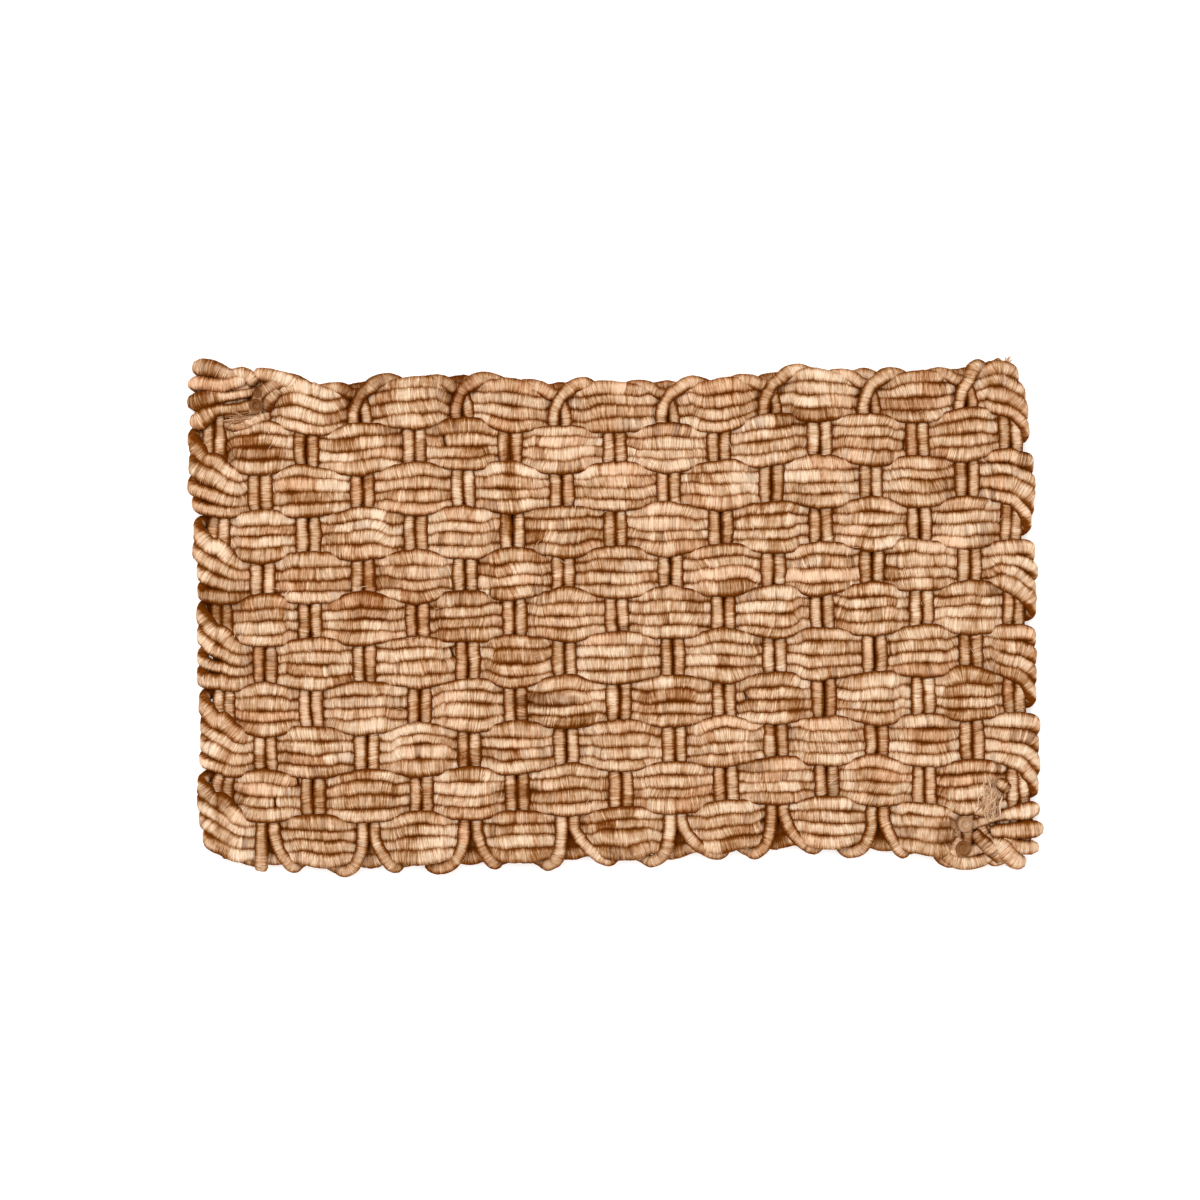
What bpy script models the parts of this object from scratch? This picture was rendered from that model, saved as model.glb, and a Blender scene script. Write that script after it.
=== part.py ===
"""Woven door mat: four weft strands snake through seventeen pairs of warp cords.

Run it with: blender --background --python part.py
Metres, +Z up. The mat lies on z = 0, its length along X and its width along Y,
with row 1 at +Y and pair 1 at -X. Each strand and each warp cord is made of hand-wrapped
lengths that are butted end to end, and every length is its own object.
"""

import math

import bmesh
import bpy
from mathutils import Vector

# ---- driving dimensions (metres) ----
MAT_LENGTH = 0.748  # over the side turns, along X
MAT_WIDTH = 0.445  # over the top and bottom loops, along Y
PAIRS = 17  # pairs of warp cords, side by side along X
ROWS = 11  # weft rows, along Y
STRANDS = 4  # strands in each weft row
STRAND_THICKNESS = 0.0066
CORD_WIDTH = 0.0094
CORD_THICKNESS = 0.0056
CORD_RISE = 0.0020  # how far a warp cord weaves above and below the middle of the mat
STRAND_GAP = 0.00055  # between neighbouring strands
CORD_GAP = 0.0012  # between the two cords of a pair
WEAVE_GAP = 0.0006  # between a strand and a cord lying level under it
FIT_GAP = 0.0003  # between pieces that touch
BUTT_GAP = 0.0006  # between two lengths that are butted end to end
KNOT_LENGTH = 0.0140

# ---- worked out from them ----
MIDDLE = STRAND_THICKNESS + WEAVE_GAP + CORD_THICKNESS / 2  # half of the mat's thickness
TOP_LOOP = CORD_WIDTH + 0.0030  # how far the top loops stand beyond row 1
BOTTOM_LOOP = CORD_WIDTH + 0.0038  # and the bottom loops beyond the last row
ROW_PITCH = (MAT_WIDTH - TOP_LOOP - BOTTOM_LOOP) / ROWS
STRAND_PITCH = ROW_PITCH / STRANDS
STRAND_WIDTH = STRAND_PITCH - STRAND_GAP
CORD_OFFSET = (CORD_WIDTH + CORD_GAP) / 2  # from a pair's middle to its cords
FLAT = CORD_OFFSET + CORD_WIDTH / 2 + 0.0005  # half of the level stretch of a strand over a pair
TURN_REACH = FLAT + 0.0020 + MIDDLE  # from the last pair's middle to the mat's edge
PAIR_PITCH = (MAT_LENGTH - 2 * TURN_REACH) / (PAIRS - 1)
HALF_ROW = ROW_PITCH / 2
CROSS_INNER = -MIDDLE + STRAND_THICKNESS + FIT_GAP + CORD_THICKNESS / 2  # heights of two crossing cords
CROSS_OUTER = CROSS_INNER + CORD_THICKNESS + FIT_GAP
KNOT_HEIGHT = MIDDLE - CORD_RISE - CORD_THICKNESS / 2 - 2 * FIT_GAP
WORLD_UP = Vector((0, 0, 1))

# A side turn from the front of the mat to its back: the angle round the edge, how much of
# the step to the next row is done there, and the strand's thickness there. The strand is
# pressed thinner where it slants across the cords of the row that it comes from or goes to.
FRONT_THICKNESS = MIDDLE - CORD_THICKNESS / 2 - 0.75 * CORD_RISE
BACK_THICKNESS = MIDDLE - CORD_THICKNESS / 2 - CORD_RISE - FIT_GAP
SIDE_TURN = (
    (60, 0.22, FRONT_THICKNESS),
    (20, 0.28, FRONT_THICKNESS),
    (-20, 0.36, (FRONT_THICKNESS + BACK_THICKNESS) / 2),
    (-60, 0.45, BACK_THICKNESS),
)
FRONT_SHIFT = 0.15  # the share of the step on the level stretch before the turn
BACK_SHIFT = 0.62  # and after it

# Where each strand's lengths meet, as (row, place), a place of 5.6 lying 0.6 of the way from
# pair 5 to pair 6, and where each warp cord's lengths meet, as (pair, row).
STRAND_SPLICES = {
    1: ((4, 7.0), (7, 12.0), (10, 2.63)),
    2: ((2, 5.62), (7, 5.68), (8, 11.40)),
    3: ((2, 14.65), (6, 5.0), (10, 2.16)),
    4: ((3, 4.0), (5, 6.55), (9, 10.0)),
}
CORD_SPLICES = {
    "a": ((5, 7), (9, 3), (13, 9)),
    "b": ((4, 6), (8, 10), (12, 4)),
}

STRAND_COLOURS = ((0.62, 0.40, 0.22), (0.56, 0.34, 0.18), (0.66, 0.44, 0.26), (0.50, 0.30, 0.15))
CORD_COLOURS = {"a": (0.52, 0.31, 0.16), "b": (0.46, 0.27, 0.13)}
KNOT_COLOUR = (0.58, 0.42, 0.26)


def pair_x(place):
    return (place - (PAIRS + 1) / 2) * PAIR_PITCH


def row_y(row):
    return ((ROWS + 1) / 2 - row) * ROW_PITCH + (BOTTOM_LOOP - TOP_LOOP) / 2


def weft_side(row, pair):
    """1 where a weft row passes in front of a pair, -1 where it passes behind it."""
    return 1 if (row + pair) % 2 == 0 else -1


class Section:
    """One cross-section of a cord: its middle, the two half-size vectors, and where along it lies."""

    def __init__(self, middle, across, out, row=None, pair=None):
        self.middle, self.across, self.out = Vector(middle), Vector(across), Vector(out)
        self.row, self.pair = row, pair

    def corners(self):
        steps = ((-1, -1), (1, -1), (1, 1), (-1, 1))
        return [self.middle + a * self.across + n * self.out for a, n in steps]

    def moved(self, step):
        return Section(self.middle + step, self.across, self.out)

    def between(self, other, share):
        return Section(
            self.middle.lerp(other.middle, share),
            self.across.lerp(other.across, share),
            self.out.lerp(other.out, share),
        )


def strand_section(x, y, side, thickness=STRAND_THICKNESS, row=None):
    """A weft section on the front (side 1) or back (side -1) of the mat, against its surface."""
    half = thickness / 2
    middle = (x, y, side * (MIDDLE - half))
    return Section(middle, (0, STRAND_WIDTH / 2, 0), (0, 0, half), row)


def turn_sections(side, y_front, y_back):
    """The stretch round the left (-1) or right (1) edge, in order from the front to the back."""
    last = pair_x(PAIRS) if side > 0 else pair_x(1)
    step = y_back - y_front
    x = last + side * FLAT
    found = [strand_section(x, y_front + FRONT_SHIFT * step, 1, FRONT_THICKNESS)]
    centre = last + side * (TURN_REACH - MIDDLE)
    for degrees, shift, thickness in SIDE_TURN:
        angle = math.radians(degrees)
        out = Vector((side * math.cos(angle), 0, math.sin(angle)))
        half = thickness / 2
        middle = Vector((centre, y_front + shift * step, 0)) + (MIDDLE - half) * out
        found.append(Section(middle, (0, STRAND_WIDTH / 2, 0), half * out))
    found.append(strand_section(x, y_front + BACK_SHIFT * step, -1, BACK_THICKNESS))
    return found


def row_sections(row, y, pairs, direction, behind):
    """The level stretches of one row. The end pairs' outer sections belong to the side turns."""
    found = []
    for pair in pairs:
        side = -1 if pair == behind else weft_side(row, pair)
        for end in (-direction, direction):
            outer = (pair == 1 and end < 0) or (pair == PAIRS and end > 0)
            if not outer:
                found.append(strand_section(pair_x(pair) + end * FLAT, y, side, row=row))
    return found


def strand_path(strand):
    """A strand's sections from the start at the top left to the end at the bottom right."""
    lead = (STRANDS + 1) / 2 - strand

    def y_of(row):
        return row_y(row) + lead * STRAND_PITCH

    y_first, y_last = y_of(1), y_of(ROWS)
    start_x = pair_x(2) - FLAT - WEAVE_GAP
    path = [strand_section(start_x, y_first, 1), strand_section(pair_x(1) + FLAT, y_first, 1)]
    path += turn_sections(-1, y_first, y_first)
    for row in range(1, ROWS + 1):
        right = row % 2 == 1
        pairs = range(1, PAIRS + 1) if right else range(PAIRS, 0, -1)
        behind = {1: 1, ROWS: PAIRS}.get(row)
        path += row_sections(row, y_of(row), pairs, 1 if right else -1, behind)
        if row == ROWS:
            break
        if right:
            path += turn_sections(1, y_of(row), y_of(row + 1))
        else:
            path += reversed(turn_sections(-1, y_of(row + 1), y_of(row)))
    path += reversed(turn_sections(1, y_last, y_last))
    path += [strand_section(pair_x(PAIRS) - FLAT, y_last, 1), strand_section(-start_x, y_last, 1)]
    return facing_out(path)


def facing_out(path):
    """Turns each section's out vector to agree with the one before, so the skin doesn't twist."""
    for before, after in zip(path, path[1:]):
        if before.out.dot(after.out) < 0:
            after.out = -after.out
    return path


def cord_points(name):
    """A warp cord's route as (point, pair, row), up and down through all the pairs."""
    first = name == "a"  # cord a is the outer one where two cords cross at the top edge
    route = []
    for pair in range(1, PAIRS + 1):
        left = (pair % 2 == 0) == first
        x = pair_x(pair) + (-CORD_OFFSET if left else CORD_OFFSET)
        downwards = (pair % 2 == 1) == first
        column = []
        for row in range(2, ROWS):
            z = -CORD_RISE * weft_side(row, pair)
            column.append((Vector((x, row_y(row), z)), pair, row))
        column = top_end(name, pair, x) + column + bottom_end(name, pair, x)
        route += column if downwards else column[::-1]
    return route


def top_end(name, pair, x):
    """Where a cord leaves row 1 by the top edge, listed from the edge downwards."""
    first = name == "a"
    y, front = row_y(1), (1 if pair % 2 == 0 else -1)
    boundary = Vector((x, y - HALF_ROW - 0.001, 0))
    if pair == 1:
        if first:
            points = [(x, y + HALF_ROW - 0.003, 0), (x, y, 0)]
        else:
            edge = y + HALF_ROW + CORD_WIDTH / 2 + 0.002
            middle = pair_x(1.5)
            points = [(middle, edge + 0.0006, 0), (x + 0.008, edge + 0.0004, 0)]
            points += [(x + 0.0006, edge - 0.003, 0), (x, y, 0)]
        return [(Vector(p), None, None) for p in points] + [(boundary, None, None)]
    height = front * (CROSS_OUTER if first else CROSS_INNER)
    lean_height = height + front * (0.0005 if first else 0.0008)
    towards = 1 if (x < pair_x(pair)) else -1
    lean_x = pair_x(pair) + towards * (FLAT - 0.003)
    lean = Vector((lean_x, y + HALF_ROW + 0.0037, lean_height))
    cross = Vector((pair_x(pair), y + 0.008, height))
    apart = Vector((x, y - 0.005, height))
    points = [lean, cross, apart, boundary]
    if pair == PAIRS and first:  # it clears the strands that turn to the back here
        beside = Vector((x, y + 0.008, height))
        low = Vector((x, y - 0.003, front * CORD_RISE))
        points = [lean, cross + Vector((0, 0.008, 0)), beside, low, boundary]
    elif pair == PAIRS:  # the free end at the top right
        tip = Vector((pair_x(pair) + 0.001, y + HALF_ROW + TOP_LOOP - 0.001, height))
        points = [tip, Vector((x, y + 0.008, height)), apart, boundary]
    elif towards > 0:
        edge = Vector((pair_x(pair + 0.5), y + HALF_ROW + TOP_LOOP - CORD_WIDTH / 2, 0))
        points = [edge] + points
    return [(p, None, None) for p in points]


def bottom_end(name, pair, x):
    """Where a cord leaves the last row by the bottom edge, listed downwards."""
    first = name == "a"
    y, towards = row_y(ROWS), (1 if x > pair_x(pair) else -1)
    # The weft passes on both faces of the last pair here, so its cords stay between them.
    height = 0 if pair == PAIRS else -CORD_RISE * weft_side(ROWS, pair)
    points = [(x, y + HALF_ROW + 0.001, 0), (x, y, height)]
    if pair == PAIRS and first:  # the end is tucked inside the last turn
        points.append((x, y - HALF_ROW + 0.003, 0))
    elif pair == 1 and not first:  # the free end at the bottom left
        points.append((x, y - HALF_ROW - 0.008, height))
    else:
        low = y - HALF_ROW - BOTTOM_LOOP + CORD_WIDTH / 2
        points.append((x, y - HALF_ROW + 0.004, height / 2))
        points.append((x + towards * 0.0045, low + 0.0031, 0))
        if towards > 0:
            points.append((pair_x(pair + 0.5), low, 0))
    return [(Vector(p), None, None) for p in points]


def cord_path(name):
    """A warp cord's sections, each square to the route's own direction in plan."""
    route = cord_points(name)
    places = [point for point, _, _ in route]
    path = []
    for n, (point, pair, row) in enumerate(route):
        along = places[min(n + 1, len(places) - 1)] - places[max(n - 1, 0)]
        along.z = 0
        across = WORLD_UP.cross(along.normalized()) * (CORD_WIDTH / 2)
        path.append(Section(point, across, (0, 0, CORD_THICKNESS / 2), row, pair))
    return path


def cut(path, index, share):
    """The path in two, butted where the share of the way from section index to the next lies."""
    here, there = path[index], path[index + 1]
    run = there.middle - here.middle
    half_gap = run.normalized() * (BUTT_GAP / 2)
    meet = here.between(there, share)
    return path[: index + 1] + [meet.moved(-half_gap)], [meet.moved(half_gap)] + path[index + 1 :]


def strand_lengths(strand):
    """The strand's path cut at its splices."""
    rest, lengths = strand_path(strand), []
    for row, place in STRAND_SPLICES[strand]:
        x = pair_x(place)
        for n, (a, b) in enumerate(zip(rest, rest[1:])):
            if a.row == b.row == row and (a.middle.x - x) * (b.middle.x - x) <= 0:
                piece, rest = cut(rest, n, (x - a.middle.x) / (b.middle.x - a.middle.x))
                lengths.append(piece)
                break
    return lengths + [rest]


def cord_lengths(name):
    """The warp cord's path cut in the middle of the crossings named in CORD_SPLICES."""
    rest, lengths = cord_path(name), []
    for pair, row in CORD_SPLICES[name]:
        n = next(i for i, s in enumerate(rest) if s.pair == pair and s.row == row)
        piece, rest = cut(rest, n, 0.1)
        lengths.append(piece)
    return lengths + [rest]


def loft(path):
    """A closed skin through the sections. A bevelled curve can't do it: these sections change
    width and thickness separately, and turn with the edge of the mat instead of with the route."""
    mesh = bmesh.new()
    rings = [[mesh.verts.new(corner) for corner in section.corners()] for section in path]
    for ring, following in zip(rings, rings[1:]):
        for n, corner in enumerate(ring):
            m = (n + 1) % len(ring)
            mesh.faces.new((corner, ring[m], following[m], following[n]))
    mesh.faces.new(rings[0][::-1])
    mesh.faces.new(rings[-1])
    bmesh.ops.recalc_face_normals(mesh, faces=mesh.faces)
    return mesh


def knot(pair, row, inwards):
    """The flattened knot of loose fibre on a pair, beside the crossing that locks the strands' ends."""
    mesh = bmesh.new()
    bmesh.ops.create_uvsphere(mesh, u_segments=20, v_segments=10, radius=0.5)
    size = Vector((CORD_WIDTH, KNOT_LENGTH, KNOT_HEIGHT))
    middle = Vector((pair_x(pair), row_y(row), MIDDLE - KNOT_HEIGHT / 2 - FIT_GAP))
    middle += inwards * Vector((CORD_OFFSET + 0.0006, -HALF_ROW + KNOT_LENGTH / 2 + 0.0015, 0))
    for corner in mesh.verts:
        corner.co = Vector(a * b for a, b in zip(corner.co, size)) + middle
    return mesh


def add_object(name, mesh, colour):
    """Puts the mesh on the floor as its own object, in its own collection, with its own material."""
    bmesh.ops.translate(mesh, verts=mesh.verts, vec=(0, 0, MIDDLE))
    data = bpy.data.meshes.new(name)
    mesh.to_mesh(data)
    mesh.free()
    material = bpy.data.materials.new(name)
    material.use_nodes = True
    shader = material.node_tree.nodes["Principled BSDF"]
    shader.inputs["Base Color"].default_value = (*colour, 1)
    shader.inputs["Roughness"].default_value = 0.85
    shader.inputs["Metallic"].default_value = 0
    material.diffuse_color = (*colour, 1)
    data.materials.append(material)
    obj = bpy.data.objects.new(name, data)
    collection = bpy.data.collections.new(name)
    bpy.context.scene.collection.children.link(collection)
    collection.objects.link(obj)


def main():
    for obj in list(bpy.data.objects):
        bpy.data.objects.remove(obj)
    for strand in range(1, STRANDS + 1):
        for n, path in enumerate(strand_lengths(strand), 1):
            add_object(f"weft_strand_{strand}_length_{n}", loft(path), STRAND_COLOURS[strand - 1])
    for name in ("a", "b"):
        for n, path in enumerate(cord_lengths(name), 1):
            add_object(f"warp_cord_{name}_length_{n}", loft(path), CORD_COLOURS[name])
    add_object("end_knot_top_left", knot(2, 1, 1), KNOT_COLOUR)
    add_object("end_knot_bottom_right", knot(PAIRS - 1, ROWS, -1), KNOT_COLOUR)


main()
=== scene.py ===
"""The looks of the woven door mat: wrapped fibre cords, their ends, knots and stray fibres.

The cords keep the lattice of the CAD model: four weft strands snake through eleven rows, and two
warp cords go up and down through seventeen pairs. Here they get soft round sections, the bulge and
pinch of a hand-packed weave, the fibre wound round them, and its uneven natural colour.
Lengths are in millimetres from the middle of the mat, and turn into metres in build_mesh.
"""

import math

import bpy
import numpy as np
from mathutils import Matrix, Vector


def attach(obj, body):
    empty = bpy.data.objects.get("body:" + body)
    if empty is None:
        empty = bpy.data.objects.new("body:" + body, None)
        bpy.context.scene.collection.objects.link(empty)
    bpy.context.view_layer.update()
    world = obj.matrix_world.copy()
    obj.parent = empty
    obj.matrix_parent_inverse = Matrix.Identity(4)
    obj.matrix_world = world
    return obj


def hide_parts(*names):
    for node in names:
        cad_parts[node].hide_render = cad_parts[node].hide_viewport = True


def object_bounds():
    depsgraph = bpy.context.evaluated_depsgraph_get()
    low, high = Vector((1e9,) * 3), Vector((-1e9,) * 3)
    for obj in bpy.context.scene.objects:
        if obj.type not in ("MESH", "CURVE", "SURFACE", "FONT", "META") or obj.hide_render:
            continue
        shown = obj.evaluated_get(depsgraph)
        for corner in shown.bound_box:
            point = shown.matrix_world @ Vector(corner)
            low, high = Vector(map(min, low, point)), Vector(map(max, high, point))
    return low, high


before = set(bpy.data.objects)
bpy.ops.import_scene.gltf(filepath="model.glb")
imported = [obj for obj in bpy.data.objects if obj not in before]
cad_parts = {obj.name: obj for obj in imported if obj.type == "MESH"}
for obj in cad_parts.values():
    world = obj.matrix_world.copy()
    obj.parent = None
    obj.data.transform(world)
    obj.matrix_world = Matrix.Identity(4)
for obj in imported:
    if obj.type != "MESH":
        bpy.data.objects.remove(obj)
cad_low, cad_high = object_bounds()

# ---- the weave, from the frame ----
PAIRS, ROWS, STRANDS = 17, 11, 4
HALF_LENGTH = cad_high.x * 1000
HALF_THICKNESS = cad_high.z * 500
EDGE_REACH = 22.5  # from the last pair's middle to the mat's edge
LOOP_REACH = (12.4, 13.2)  # how far the top and bottom loops stand beyond the rows
PAIR_PITCH = 2 * (HALF_LENGTH - EDGE_REACH) / (PAIRS - 1)
ROW_PITCH = ((cad_high.y - cad_low.y) * 1000 - sum(LOOP_REACH)) / ROWS
STRAND_PITCH = ROW_PITCH / STRANDS
CORD_OFFSET = 5.5  # from a pair's middle to its cords

# ---- the cords ----
PINCHED, SWOLLEN = (5.9, 6.3), (6.9, 6.5)  # half widths of the outer and the inner strands
STRAND_HALF_THICKNESS = 4.2
CORD_HALF_WIDTH, CORD_HALF_THICKNESS = 5.6, 3.9
WEFT_RISE = HALF_THICKNESS - STRAND_HALF_THICKNESS  # from the middle of the mat to a strand on top
CORD_LIFT = 0.85 * 2.7  # from the middle of the mat to a cord in front of it or behind it
FAN = 1.75  # how far neighbouring strands move apart on top of a pair
STEP = 1.0  # between rings along a cord
SIDES = 18  # of a ring
CAP_LENGTH = 2.6  # the stretch that narrows at each end of a length
SEED = 41

# Darker places: x, y, reach in x and in y, change of tone, and greyness.
PATCHES = (
    (-304, 200, 15, 15, -0.16, 0.4),
    (300, -197, 24, 15, -0.13, 0.4),
    (-361, 197, 18, 8, -0.34, 0.35),
    (-352, 224, 16, 9, -0.12, 0.35),
    (-316, 148, 30, 7, -0.24, 0.30),
    (-316, 157, 26, 5, -0.15, 0.0),
    (-268, 109, 34, 6, -0.22, 0.0),
    (-225, 205, 12, 20, -0.22, 0.5),
    (-90, 143, 6, 20, -0.25, 0.0),
    (-90, 105, 6, 40, -0.25, 0.0),
    (-137, 205, 12, 20, -0.15, 0.4),
    (-62, -73, 30, 7, -0.20, 0.7),
    (-62, -96, 30, 7, -0.12, 0.2),
    (40, -70, 30, 9, -0.16, 0.1),
    (-118, -120, 34, 8, -0.22, 0.2),
    (-90, -152, 24, 7, -0.2, 0.3),
    (168, 172, 26, 9, -0.18, 0.3),
    (262, 180, 26, 9, -0.2, 0.25),
    (345, 190, 14, 30, -0.15, 0.1),
    (-345, 20, 20, 24, -0.12, 0.3),
    (-350, -150, 24, 12, -0.2, 0.35),
)

# How far the mat's outline lies off a straight one: the top and the bottom edge at each x, and
# the left and the right edge at each y. It fades in between two distances from the mat's middle.
TOP = (
    (-370, -275, -250, -200, -120, -60, 90, 160, 250, 310, 345),
    (0, 1, -5, 0, 1, -7, -8, 1, -4, -1, 5),
)
BOTTOM = (
    (-370, -330, -260, 60, 130, 220, 300, 340),
    (12, 4, -2, 2, 8, 6, -5, -3),
)
LEFT = (
    (-215, -180, -150, -130, -100, -60, 20, 70, 95, 120),
    (12, 1, 0, 7, 3, 6, 5, 3, 5, 0),
)
RIGHT = (
    (-215, -190, -150, -110, -90, -15, 30, 60, 110, 180, 215),
    (-4, 0, -3, 0, -4, -4, 0, -6, 0, -6, -16),
)
FADE_X, FADE_Y = (325, 362), (90, 185)

# The unevenness of the weave: how far each pair and each row lies from an even spacing.
PAIR_DRIFT = (2, -2, -5, -1, 2, 1, -1, -1, 2, 6, 7, 8, 7, 8, 6, 5, 2)
ROW_DRIFT = (-1, 0, 0, -1, 0, 1, 1, 0, 0, -1, -1)

# The strands' ends on the front of two corners: (x, y, z, half width) from each tip to the edge.
CORNER_ENDS = {
    "top left": {
        1: (
            (-316, 219, 4, 4), (-324, 220, 5, 4.4), (-334, 219.5, 5.4, 5), (-343, 222.5, 6.2, 7.2),
            (-352, 225, 6.4, 8), (-359.5, 225.2, 4.4, 7.6),
        ),
        2: (
            (-320, 212.3, 6.5, 4.6), (-329, 211.6, 6.4, 5.2), (-343, 209.8, 6, 5.8),
            (-356, 211, 6, 6.2), (-364, 211.7, 4.2, 6),
        ),
        3: (
            (-312, 202.4, 4.5, 4.1), (-318, 201.2, 5.5, 4.4), (-333, 199.4, 5.6, 4.4),
            (-346, 198.4, 5.8, 6.2), (-356, 197.2, 6.4, 8.2), (-365.5, 195.8, 4.4, 8),
        ),
        4: (
            (-313.6, 191.3, 3.5, 5.2), (-322, 189.5, 5.4, 5.2), (-335, 187.3, 5.6, 5.4),
            (-347, 186, 5.8, 5.8), (-354, 183.4, 6, 7.6), (-363, 178.5, 4.4, 8.4),
        ),
    },
    "bottom right": {
        1: (
            (304, -185.5, 2.5, 6), (316, -182.5, 4, 5), (331, -179.5, 5, 4.8), (344, -177.3, 5.6, 6),
            (355, -176.2, 6.2, 8), (364, -175, 4.4, 7.8),
        ),
        2: ((326, -193.4, 4.6, 5.6), (344, -192.6, 6, 7), (358, -192, 6.4, 7.6), (366, -191, 4.4, 7.4)),
        3: (
            (336, -201.5, 3.6, 5), (348, -204.2, 4.6, 5.6), (357, -206.6, 4.8, 6.4),
            (364, -207, 3, 6.2),
        ),
        4: (
            (302, -209.3, 2.0, 6), (314, -206, 3.6, 5.4), (327, -203.5, 5.2, 6),
            (335, -206.5, 6.2, 7.6), (342, -213, 6.8, 8.2), (349, -218, 5.6, 7.6), (354, -220, 3.4, 7),
        ),
    },
}

# Where each strand's and each warp cord's lengths meet, as in the CAD model.
STRAND_SPLICES = {
    1: ((4, 7.0), (7, 12.0), (10, 2.63)),
    2: ((2, 5.62), (7, 5.68), (8, 11.40)),
    3: ((2, 14.65), (6, 5.0), (10, 2.16)),
    4: ((3, 4.0), (5, 6.55), (9, 10.0)),
}
CORD_SPLICES = {
    "a": ((5, 7), (9, 3), (13, 9)),
    "b": ((4, 6), (8, 10), (12, 4)),
}


def smoothstep(low, high, value):
    t = np.clip((value - low) / (high - low), 0, 1)
    return t * t * (3 - 2 * t)


def pair_x(place):
    even = (place - (PAIRS + 1) / 2) * PAIR_PITCH
    return even + float(np.interp(place, range(1, PAIRS + 1), PAIR_DRIFT))


def row_y(row):
    even = ((ROWS + 1) / 2 - row) * ROW_PITCH
    return even + (LOOP_REACH[1] - LOOP_REACH[0]) / 2 + ROW_DRIFT[row - 1]


def weft_side(row, pair):
    """1 where a weft row passes in front of a pair, -1 where it passes behind it."""
    return 1 if (row + pair) % 2 == 0 else -1


class Noise:
    """Smooth random numbers from -1 to 1 along a length, at a few wavelengths."""

    def __init__(self, *key):
        self.random = np.random.default_rng([SEED, *key])

    def along(self, s, wavelength):
        count = int(s.max() / wavelength) + 4
        knots = self.random.uniform(-1, 1, count)
        place = s / wavelength
        n = np.clip(place.astype(int), 0, count - 2)
        t = place - n
        t = t * t * (3 - 2 * t)
        return knots[n] * (1 - t) + knots[n + 1] * t


# ---- routes: rows of (x, y, z, half width, half thickness) ----


def shares(row, pair):
    """Where each strand of a block lies, and its width, as shares of an even spacing."""
    random = np.random.default_rng([SEED, 5, row, pair])
    widths = 1 + 0.13 * random.normal(0, 1, STRANDS).clip(-1.6, 1.6)
    widths *= STRANDS / widths.sum()
    centres = STRANDS / 2 - np.cumsum(widths) + widths / 2
    return centres, widths, random.normal(0, 0.7), random.uniform(-3, 3), random.normal(0, 0.03)


def partner(row, side):
    """The row that a row turns into at the left (-1) or right (1) edge."""
    after = row % 2 == (1 if side > 0 else 0)
    other = row + 1 if after else row - 1
    return other if 1 <= other <= ROWS else None


# How far over to the other row the strands round the right and the left edge, the nearest first.
EDGE_SHARE = ((0.58, 0.40, 0.24, 0.08), (0.74, 0.49, 0.27, 0.10))


def edge_y(row, side, strand):
    """The middle of the bundle where it rounds an edge; the outer strands reach further over."""
    other = partner(row, side)
    if other is None:
        return row_y(row)
    front, back = (row_y(row), row_y(other)) if row % 2 else (row_y(other), row_y(row))
    nearest_back = strand - 1 if back > front else STRANDS - strand
    return front + EDGE_SHARE[side < 0][nearest_back] * (back - front)


def weft_point(x, row, pair, strand, lift, swell, pull=0.0):
    """A point on a strand; lift runs from -1 behind the mat to 1 on top of a pair."""
    centres, widths, shift, drift, tilt = shares(row, pair)
    shift += tilt * (x - pair_x(pair))
    x += drift * swell if 1 < pair < PAIRS else 0
    y = row_y(row) + shift * swell + centres[strand - 1] * (STRAND_PITCH + FAN * swell)
    if pull:
        side = 1 if pair == PAIRS else -1
        y += pull * (edge_y(row, side, strand) - row_y(row))
    inner = strand in (2, 3)
    wide = PINCHED[inner] + (SWOLLEN[inner] - PINCHED[inner]) * swell
    wide = wide * widths[strand - 1] + 1.0 * abs(pull) + 0.6 * max(0, -lift)
    return (x, y, lift * WEFT_RISE, wide, STRAND_HALF_THICKNESS)


def crossing_points(row, pair, direction, strand, side):
    """One strand over or under one pair, with the points on both flanks of it.

    The strands stay on top for longer than they stay behind, so the blocks are longer in front."""
    x, points = pair_x(pair), []
    near, far = ((0.98, 0.88), (0.92, 0.6)) if side > 0 else ((0.66, 0.7), (0.08, 0.3))
    pulls = {1: (0.42, 0.18, 0.05), PAIRS: (0.14, 0.05, 0)}.get(pair, (0, 0, 0))
    for place in (-0.32, -0.18, 0, 0.18, 0.32):
        end = place * direction
        lift, swell = {0.32: far, 0.18: near}.get(abs(place), (1, 1))
        pull = pulls[round(abs(place) * 6.3)]
        if not (pair == 1 and end < 0) and not (pair == PAIRS and end > 0):
            at = x + end * PAIR_PITCH
            points.append(weft_point(at, row, pair, strand, side * lift, swell, pull))
    return points


# Round an edge, from front to back: inwards from the outermost line, z, the share of the way
# to the turn's own y at the left and at the right edge, the half width and half thickness.
TURN = (
    (10.5, 5.5, 0.50, 0.30, 6.8, 4.5),
    (4.4, 5.0, 0.78, 0.60, 7.0, 5.0),
    (1.0, 3.6, 1.00, 0.92, 6.6, 5.2),
    (0.0, 0.8, 1.14, 1.10, 6.0, 5.0),
    (2.0, -3.6, 1.24, 1.20, 5.4, 4.4),
    (8.0, -5.7, 1.26, 1.24, 5.4, 4.2),
)


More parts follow.
